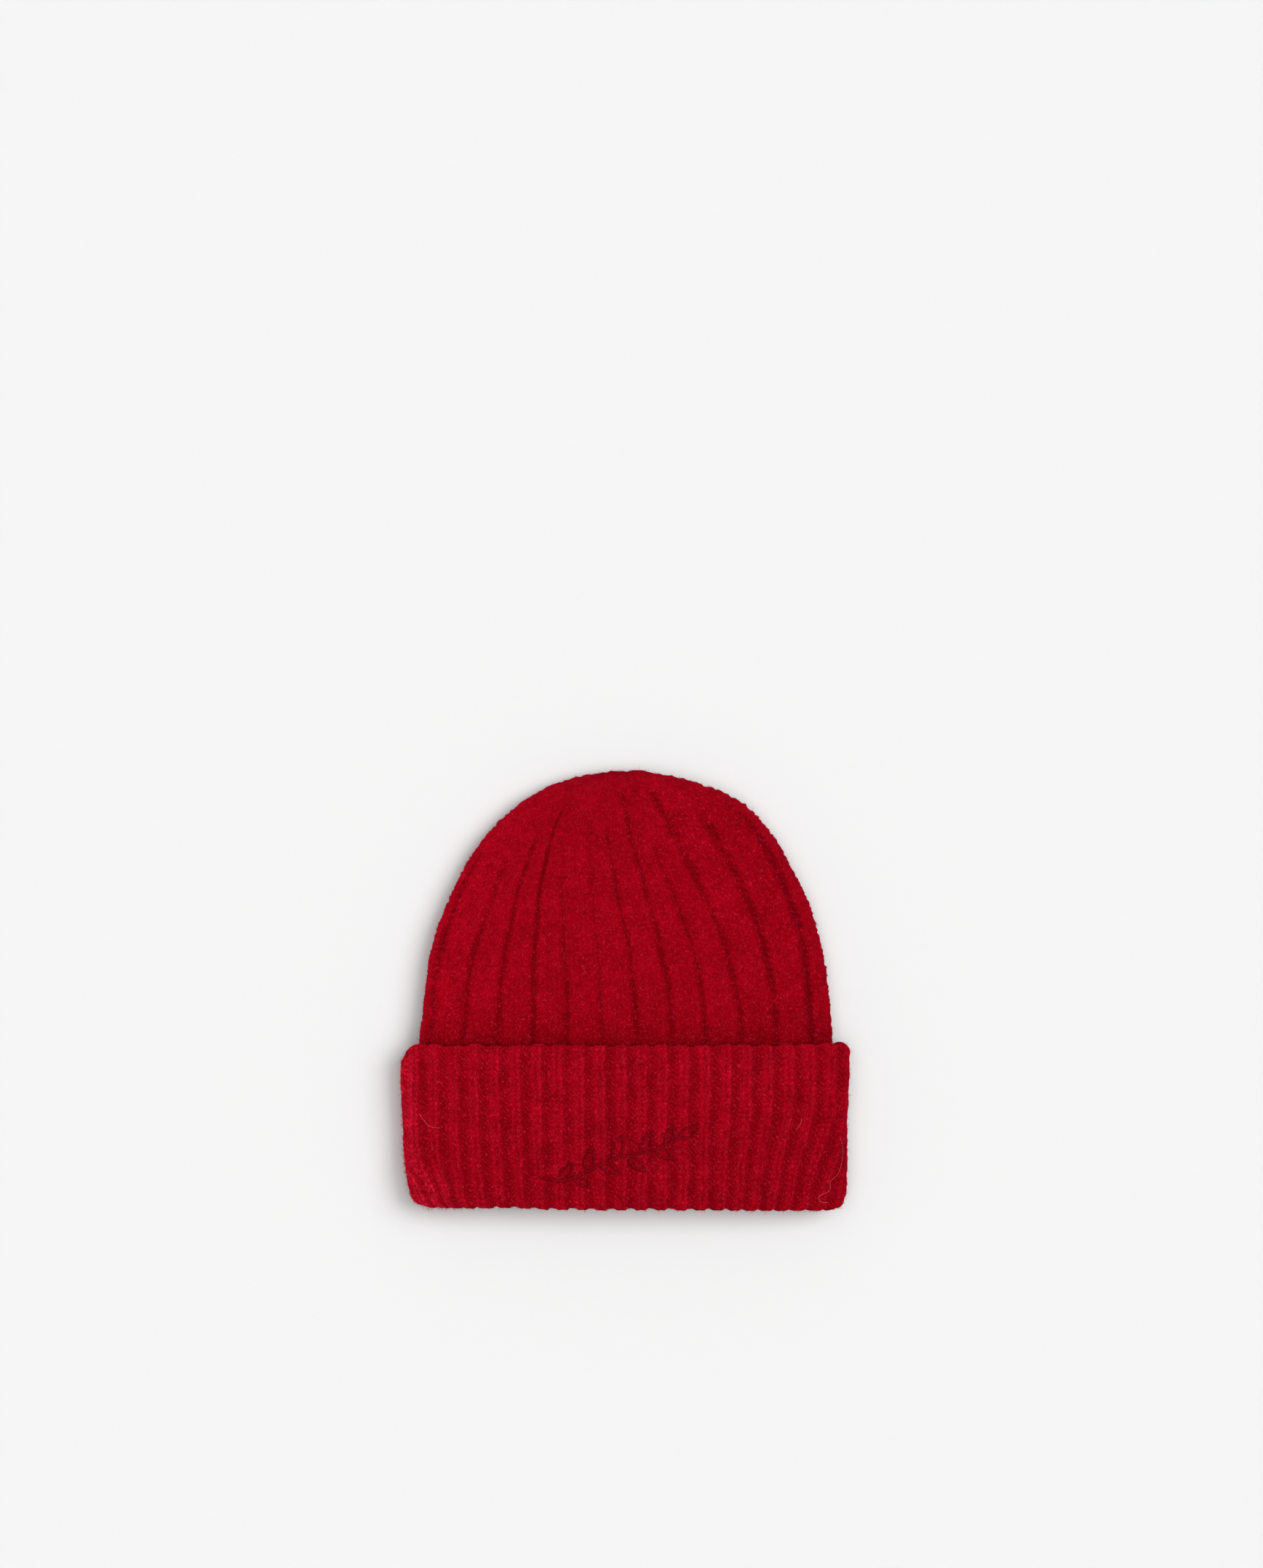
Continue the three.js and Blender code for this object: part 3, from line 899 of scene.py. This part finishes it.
# The ribs lean towards the middle where the lower corners are turned
lowered = down_the_cuff(cuff_y)[:, None]
lean = LEAN_AT_RIGHT * smooth(cuff_share, 0.64, 0.97) * smooth(lowered, 0.35, 1.0)
lean = lean + LEAN_AT_LEFT * smooth(cuff_share, 0.17, 0.02) * smooth(lowered, 0.62, 1.0)
cuff_pattern = cuff_place + with_lumps(lean, cuff_points, CUFF_LEAN_LUMPS)

# Each rib is two wales of knit stitches with a valley of purl stitches beside it
off_crest = (cuff_pattern + 0.5) % 1 - 0.5
raised = smooth(off_crest, -0.40, -0.18) * smooth(off_crest, 0.36, 0.22)
course = down_the_wale[:, None] / ROW_PITCH + 0.4 * lumps(cuff_points, 0.03, 33)
between_wales = np.exp(-((off_crest - 0.02) / 0.05) ** 2)
right_wale = np.exp(-((off_crest - 0.20) / 0.055) ** 2)
crest = CUFF_RIB_HEIGHT - CREST_FALL * off_crest ** 2
crest = crest - WALE_LINE_DEPTH * between_wales + RIGHT_WALE_HEIGHT * right_wale
stitch_bump = np.cos(2 * math.pi * (course - 0.7 * off_crest * STITCHES_IN_CUFF_RIB))
cuff_relief = raised * crest + (1 - raised) * VALLEY_STITCH_HEIGHT * stitch_bump
cuff_relief = with_lumps(cuff_relief, cuff_points, CUFF_LUMPS)
cuff_upright = 1 - np.abs(cuff_normals[..., 2])
cuff_relief = cuff_relief + CUFF_EDGE_ROUGHNESS * cuff_upright * lumps(cuff_points, 0.0028, 40)
cuff_relief = (cuff_relief - CUFF_RIB_HEIGHT) * (1 - 0.25 * smooth(lowered, 0.93, 1.0))

# The relief starts on the rounded free edge, runs round the hem and dies out inside it
hem_start = EDGE_ROWS + OUTSIDE_ROWS
hem_end = hem_start + HEM_ROWS
row_number = np.arange(len(cuff_y))
show = smooth(row_number, 2, EDGE_ROWS - 1) * smooth(row_number, hem_end + 3, hem_start + 8)
cuff_points = cuff_points + cuff_normals * (cuff_relief * show[:, None])[..., None]
cuff_points[..., 2] = np.maximum(cuff_points[..., 2], 0.0)

# The free edge and the hem wave a little, and the back of the hem lies 1.2 mm further in
edge_wave = 0.0008 + 0.0005 * lumps(cuff_points, 0.016, 36) + 0.0004 * raised
edge_wave = edge_wave + 0.0007 * smooth(cuff_points[..., 0], 0.080, 0.100)
edge_wave = edge_wave * smooth(lowered, 0.25, 0.0)
hem_wave = 0.0002 - 0.004 * cuff_points[..., 0] + 0.0012 * ~cuff_front
hem_wave = hem_wave + 0.0007 * smooth(cuff_points[..., 0], -0.030, -0.060)
cuff_points[..., 1] += edge_wave + hem_wave * smooth(lowered, 0.6, 1.0)
cuff_points[-1] = cuff_points[0]


def corners_of(table):
    return np.array([(corner["x"], corner["y"]) for corner in table])


def spline(corners):
    """A smooth line through a few corners, in even steps."""
    ends = [2 * corners[0] - corners[1]], [2 * corners[-1] - corners[-2]]
    knots = np.concatenate([ends[0], corners, ends[1]])
    t = np.linspace(0, 1, CURVE_POINTS, endpoint=False)[:, None]
    line = []
    for a, b, c, d in zip(knots, knots[1:], knots[2:], knots[3:]):
        bend = (2 * a - 5 * b + 4 * c - d) * t ** 2 + (3 * b - a - 3 * c + d) * t ** 3
        line.append(b + 0.5 * ((c - a) * t + bend))
    line = np.concatenate(line + [corners[-1:]])
    length = length_along(line)
    even = np.linspace(0, length[-1], max(2, round(length[-1] / SPLINE_STEP)))
    return np.stack([np.interp(even, length, axis) for axis in line.T], axis=-1)


def sprig_strokes():
    """The sprig's lines on the cuff: its stem, then each leaf's outline."""
    stem = spline(corners_of(SPRIG_STEM))
    strokes = [stem]
    for leaf in SPRIG_LEAVES:
        start = round(leaf["along"] * (len(stem) - 2))
        ahead = stem[start + 1] - stem[start]
        heading = math.atan2(ahead[1], ahead[0]) + math.radians(leaf["turn"])
        way = np.array([math.cos(heading), math.sin(heading)])
        side = np.array([-way[1], way[0]])
        share = np.linspace(0, 1, LEAF_CORNERS)[:, None]
        belly = LEAF_HALF_WIDTH * leaf["long"] * np.sin(math.pi * share ** 0.8)
        middle = stem[start] + way * leaf["long"] * share
        outline = [middle + side * belly, (middle - side * belly)[-2::-1]]
        strokes.append(spline(np.concatenate(outline)))
    return strokes


# The embroidery's stitches pull the knitting down on their left
pulled = np.zeros(cuff_points.shape[:2])
near = cuff_front & (np.abs(cuff_points[..., 0]) < SPRIG_FIELD["half_width"])
near = near & (cuff_points[..., 1] > SPRIG_FIELD["bottom"]) & (row_number < hem_start)[:, None]
near = near & (cuff_points[..., 1] < SPRIG_FIELD["top"])
for stroke in sprig_strokes():
    away = cuff_points[near][:, None, :2] + PULL_OFFSET - stroke[None, ::2]
    away = np.sqrt(np.min(np.sum(away ** 2, axis=-1), axis=-1))
    pulled[near] = np.maximum(pulled[near], np.exp(-(away / PULL_HALF_WIDTH) ** 2))
cuff_points[..., 2] -= PULL_DEPTH * pulled

# Painted shade makes the cuff darker in its valleys, between its wales, beside the sprig's thread and
# towards the hem. Painted light makes it pale at the left fold and at the lower left corner, over
# pale brushed fuzz, and a painted highlight runs along the right wale of each rib
shown = show[:, None]
valley = (1 - raised) * shown
cuff_painted_shade = 0.30 * valley + 0.12 * raised * between_wales * shown + 1.3 * pulled
cuff_painted_shade = cuff_painted_shade + 0.17 * smooth(lowered, 0.0, 1.0) * shown
# Painted light at the left fold and the lower left corner, over pale brushed fuzz, and a painted
# highlight along each rib's right wale
cuff_worn_and_lit = 0.72 * smooth(cuff_share, 0.064, 0.020) * shown
cuff_worn_and_lit = cuff_worn_and_lit + 0.95 * smooth(cuff_share, 0.15, 0.05) * smooth(lowered, 0.66, 0.95)
cuff_worn_and_lit = cuff_worn_and_lit + 0.14 * right_wale * shown
speckle = with_lumps(0, cuff_points, CUFF_PALE_LUMPS)
cuff_worn_and_lit = np.clip(cuff_worn_and_lit * (1 + speckle), 0, 1)
cuff_ribs = np.concatenate([cuff_pattern, cuff_pattern[:, :1] + CUFF_RIBS], axis=1)
cuff = knitted_wall(
    "cuff_knitting", cuff_points, cuff_ribs, down_the_wale / ROW_PITCH,
    {
        "groove": cuff_painted_shade,
        "gather": np.zeros_like(cuff_painted_shade),
        "purl": valley,
        "worn_and_lit": cuff_worn_and_lit,
    },
)
cuff_wool = knit_wool(
    "cuff_wool",
    deep=(0.144, 0.0003, 0.0025, 1),
    lit=(0.388, 0.0011, 0.0102, 1),
    fleck=(0.53, 0.018, 0.048, 1),
    stitches=STITCHES_IN_CUFF_RIB,
    stitch_show=0.22,
    bar_show=0.20,
    bar_pitch=1.0,
    bar_lean=0.8,
)
cuff.data.materials.append(cuff_wool)
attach(cuff, "root")
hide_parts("cuff")

# More fibres stand on crests and pale places, and none inside or on the floor
cuff_weight = (show > 0.3)[:, None] * (0.4 + 0.6 * raised) * (cuff_points[..., 2] > 0.0005)
cuff_weight = cuff_weight * (1 + 3 * cuff_worn_and_lit)
cuff_fibres = brushed_fibres(
    "cuff_fibres", cuff_points, cuff_weight, FIBRE_COUNT, raised_wool, seed=22
)
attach(cuff_fibres, "root")


# Sprig: a small generic sprig of leaves on the front of the cuff, embroidered in a thin
# thread of the wool's own red with a faint gloss. Each stitch arches over the ribs and dips
# into them at its ends.
STITCH_LENGTH = 0.0024
STITCH_ARCH = 0.00045
STITCH_DIP = 0.00010
THREAD_RADIUS = 0.00040
STRAND_SIDES = 6
DRAPING_STEPS = 7


def laid_on_cuff(stroke, above):
    """A line in the plane of the floor, draped over the cuff's front."""
    heights = []
    for x, y in stroke:
        spot = cuff_surface.ray_cast(Vector((x, y, 0.1)), Vector((0, 0, -1)))[0]
        heights.append(spot.z if spot else 0)
    padded = np.pad(heights, DRAPING_STEPS // 2, mode="edge")
    heights = np.convolve(padded, np.ones(DRAPING_STEPS) / DRAPING_STEPS, mode="valid")
    return np.column_stack([stroke, heights + above])


def strands(name, lines, radii, material):
    """Round closed strands along lines, as one mesh."""
    vertices = []
    faces = []
    turns = np.linspace(0, 2 * math.pi, STRAND_SIDES, endpoint=False)
    for line, radius in zip(lines, radii):
        ahead = np.gradient(line, axis=0)
        ahead /= np.linalg.norm(ahead, axis=-1, keepdims=True)
        side = np.cross(ahead, (0, 0, 1))
        side /= np.linalg.norm(side, axis=-1, keepdims=True)
        up = np.cross(side, ahead)
        first = len(vertices)
        for turn in turns:
            round_it = side * math.cos(turn) + up * math.sin(turn)
            vertices.extend((line + round_it * radius[:, None]).tolist())
        long = len(line)
        strips = [first + number * long for number in range(STRAND_SIDES)]
        for this, beside in zip(strips, strips[1:] + strips[:1]):
            for k in range(long - 1):
                faces.append((this + k, this + k + 1, beside + k + 1, beside + k))
        faces.append(strips)
        faces.append([strip + long - 1 for strip in reversed(strips)])
    mesh = bpy.data.meshes.new(name)
    mesh.from_pydata(vertices, [], faces)
    mesh.materials.append(material)
    mesh.shade_smooth()
    return in_scene(name, mesh)


cuff_surface = BVHTree.FromObject(cuff, bpy.context.evaluated_depsgraph_get())
thread_lines = []
thread_radii = []
for stroke in sprig_strokes():
    along = np.arange(len(stroke)) * SPLINE_STEP
    arch = np.abs(np.sin(math.pi * along / STITCH_LENGTH)) ** 0.5
    thread_lines.append(laid_on_cuff(stroke, STITCH_ARCH * arch - STITCH_DIP))
    thread_radii.append(THREAD_RADIUS * (0.7 + 0.3 * arch))
sprig_thread = plain_material("sprig_thread", {
    "Base Color": (0.165, 0.0005, 0.0034, 1),
    "Roughness": 0.42,
    "Specular IOR Level": 0.12,
    "Specular Tint": (1, 0.35, 0.40, 1),
})
sprig = strands("embroidered_sprig", thread_lines, thread_radii, sprig_thread)
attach(sprig, "root")


# Lint: three stray pale hairs that lie loose on the cuff, a curved one at its left side, and a
# long curled one and a short one at its right.
LEFT_HAIR = [
    {"x": -0.1006, "y": -0.0601},
    {"x": -0.0982, "y": -0.0634},
    {"x": -0.0955, "y": -0.0661},
    {"x": -0.0906, "y": -0.0669},
]
LONG_HAIR = [
    {"x": 0.1052, "y": -0.0711},
    {"x": 0.1068, "y": -0.0786},
    {"x": 0.1048, "y": -0.0886},
    {"x": 0.1006, "y": -0.0932},
    {"x": 0.1002, "y": -0.0975},
    {"x": 0.0951, "y": -0.1003},
    {"x": 0.0956, "y": -0.1030},
    {"x": 0.0996, "y": -0.1034},
]
SHORT_HAIR = [
    {"x": 0.0862, "y": -0.0622},
    {"x": 0.0860, "y": -0.0645},
    {"x": 0.0838, "y": -0.0679},
]
HAIR_RADIUS = 0.00006
HAIR_CLEARANCE = 0.00035

lint_lines = [
    laid_on_cuff(spline(corners_of(hair)), HAIR_CLEARANCE)
    for hair in (LEFT_HAIR, LONG_HAIR, SHORT_HAIR)
]
lint_radii = [np.full(len(line), HAIR_RADIUS) for line in lint_lines]
pale_hair = plain_material("pale_hair", {"Base Color": (0.60, 0.11, 0.12, 1), "Roughness": 0.5})
lint = strands("stray_lint", lint_lines, lint_radii, pale_hair)
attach(lint, "root")


# Studio: a plain pale floor under soft light from all round, keys from the right and a low one
# from the left, and a camera straight above.
FLOOR_HALF_WIDTH = 6
FLOOR_GREY = (0.613, 0.613, 0.613, 1)
FILL = 0.48
ROOM_AS_SEEN = 0.92
SENSOR_MM = 36

# The camera looks down on the middle of its frame; how tall that is at half the beanie's height
CAMERA_DISTANCE = 5.0
FRAME_TALL = 0.7685
FRAME_MIDDLE = {"x": 0.0032, "y": 0.1013, "z": 0.010}

# Soft suns: how much light each gives a level surface, how high it stands, which way it lies
# from +X over to +Y, how wide it is in the sky, and what it lights
SUNS = [
    {"name": "overhead", "gives": 0.48, "height": 90, "bearing": 0, "width": 65, "lights": "all"},
    {"name": "right_key", "gives": 0.33, "height": 50, "bearing": 16, "width": 38, "lights": "all"},
    {"name": "floor_key", "gives": 0.21, "height": 50, "bearing": 16, "width": 38, "lights": "floor"},
    {"name": "left_key", "gives": 0.222, "height": 22, "bearing": 176, "width": 40, "lights": "hat"},
]

floor_mesh = bpy.data.meshes.new("studio_floor")
floor_grid = bmesh.new()
bmesh.ops.create_grid(floor_grid, x_segments=1, y_segments=1, size=FLOOR_HALF_WIDTH)
floor_grid.to_mesh(floor_mesh)
floor_grid.free()
floor = in_scene("studio_floor", floor_mesh)
floor_paint = plain_material("floor_paint", {"Base Color": FLOOR_GREY, "Roughness": 1.0})
floor_mesh.materials.append(floor_paint)

world = bpy.data.worlds.new("soft_room")
world.use_nodes = True
bpy.context.scene.world = world
world_start = Strand(world.node_tree, None)
seen = world_start.node("LightPath", {}, {}, output="Is Camera Ray")
world.node_tree.nodes["Background"].inputs["Color"].default_value = (1, 1, 1, 1)
brightness = FILL + seen * (ROOM_AS_SEEN - FILL)
brightness.feeds("Background", "Strength")

reach = {"floor": [floor], "hat": [crown, cuff, crown_fibres, cuff_fibres, sprig, lint]}
for sun in SUNS:
    lamp = bpy.data.lights.new(sun["name"], "SUN")
    lamp.angle = math.radians(sun["width"])
    height = math.radians(sun["height"])
    bearing = math.radians(sun["bearing"])
    lamp.energy = math.pi * sun["gives"] / math.sin(height)
    lamp_object = in_scene(sun["name"], lamp)
    level = math.cos(height)
    towards = Vector((level * math.cos(bearing), level * math.sin(bearing), math.sin(height)))
    lamp_object.rotation_euler = towards.to_track_quat("Z", "Y").to_euler()
    if sun["lights"] in reach:
        reached = bpy.data.collections.new(sun["name"] + "_reaches")
        for piece in reach[sun["lights"]]:
            reached.objects.link(piece)
        lamp_object.light_linking.receiver_collection = reached

camera_data = bpy.data.cameras.new("overhead_camera")
camera_data.sensor_width = SENSOR_MM
camera_data.lens = CAMERA_DISTANCE * SENSOR_MM / FRAME_TALL
camera = in_scene("overhead_camera", camera_data)
camera.location = FRAME_MIDDLE["x"], FRAME_MIDDLE["y"], FRAME_MIDDLE["z"] + CAMERA_DISTANCE
bpy.context.scene.camera = camera
bpy.context.scene.view_settings.view_transform = "Standard"
